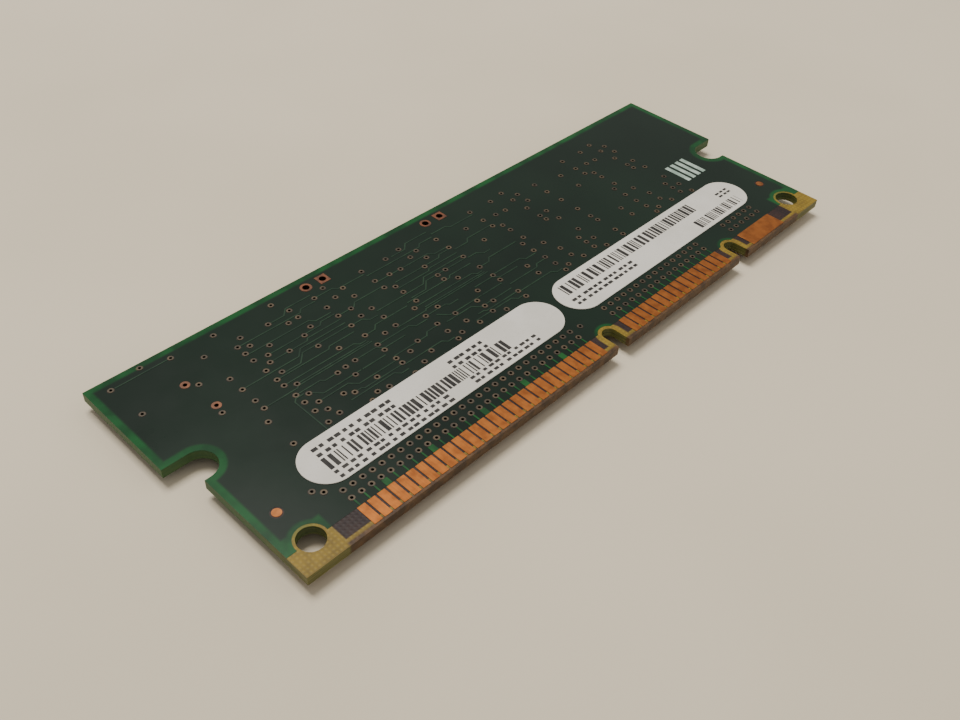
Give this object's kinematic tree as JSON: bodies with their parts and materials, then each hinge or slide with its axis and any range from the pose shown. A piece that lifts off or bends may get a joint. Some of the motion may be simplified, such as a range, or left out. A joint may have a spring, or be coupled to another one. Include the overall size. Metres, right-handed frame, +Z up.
{
  "type": "memory module",
  "caption": "Narrow keyed memory module: green circuit board with edge contacts, latch notches, corner holes and rounded paper labels, thin packages below.",
  "frame": {"origin": "under the middle of the board, on the plane of the package tops that the module rests on", "axes": "+X along the contact edge with the long contact group at -X, +Y from the contact edge to the far edge, +Z up to the labelled face"},
  "size_m": [0.0948, 0.0346, 0.0025],
  "materials": {
    "glass_epoxy": "satin",
    "copper": "satin",
    "solder_mask": "semi-gloss",
    "gold_plating": "satin",
    "plated_copper": "satin",
    "mould_compound": "matte",
    "lead_frame": "satin",
    "silicon": "polished",
    "gold_wire": "polished",
    "solder": "satin",
    "resistor_coat": "semi-gloss",
    "label_paper": "matte",
    "white_ink": "matte"
  },
  "bodies": {
    "root": {"bond_wires_1": "gold_wire", "bond_wires_2": "gold_wire", "bond_wires_3": "gold_wire", "bond_wires_4": "gold_wire", "capacitor_bodies": "silicon", "capacitor_end_caps": "solder", "contact_vias": "plated_copper", "core_laminate": "glass_epoxy", "die_paddle_1": "lead_frame", "die_paddle_2": "lead_frame", "die_paddle_3": "lead_frame", "die_paddle_4": "lead_frame", "field_vias": "plated_copper", "ground_plane": "copper", "header_barrels": "plated_copper", "left_label": "label_paper", "lower_contact_tails": "copper", "lower_contacts_a": "gold_plating", "lower_contacts_b": "gold_plating", "lower_contacts_c": "gold_plating", "lower_fiducials": "gold_plating", "lower_prepreg": "glass_epoxy", "lower_silkscreen": "white_ink", "lower_solder_mask": "solder_mask", "lower_traces": "copper", "memory_body_1": "mould_compound", "memory_body_2": "mould_compound", "memory_body_3": "mould_compound", "memory_body_4": "mould_compound", "memory_die_1": "silicon", "memory_die_2": "silicon", "memory_die_3": "silicon", "memory_die_4": "silicon", "memory_lands": "solder", "memory_leads_1": "lead_frame", "memory_leads_2": "lead_frame", "memory_leads_3": "lead_frame", "memory_leads_4": "lead_frame", "memory_solder": "solder", "power_plane": "copper", "power_vias": "plated_copper", "resistor_bodies": "silicon", "resistor_coatings": "resistor_coat", "resistor_end_caps": "solder", "right_label": "label_paper", "serial_body": "mould_compound", "serial_die": "silicon", "serial_leads": "lead_frame", "serial_paddle_and_wires": "gold_wire", "small_part_lands": "solder", "small_part_solder": "solder", "upper_contact_tails": "copper", "upper_contacts_a": "gold_plating", "upper_contacts_b": "gold_plating", "upper_fiducials": "gold_plating", "upper_prepreg": "glass_epoxy", "upper_silkscreen": "white_ink", "upper_solder_mask": "solder_mask", "upper_traces": "copper", "upper_wide_contact": "gold_plating"}
  },
  "joints": []
}
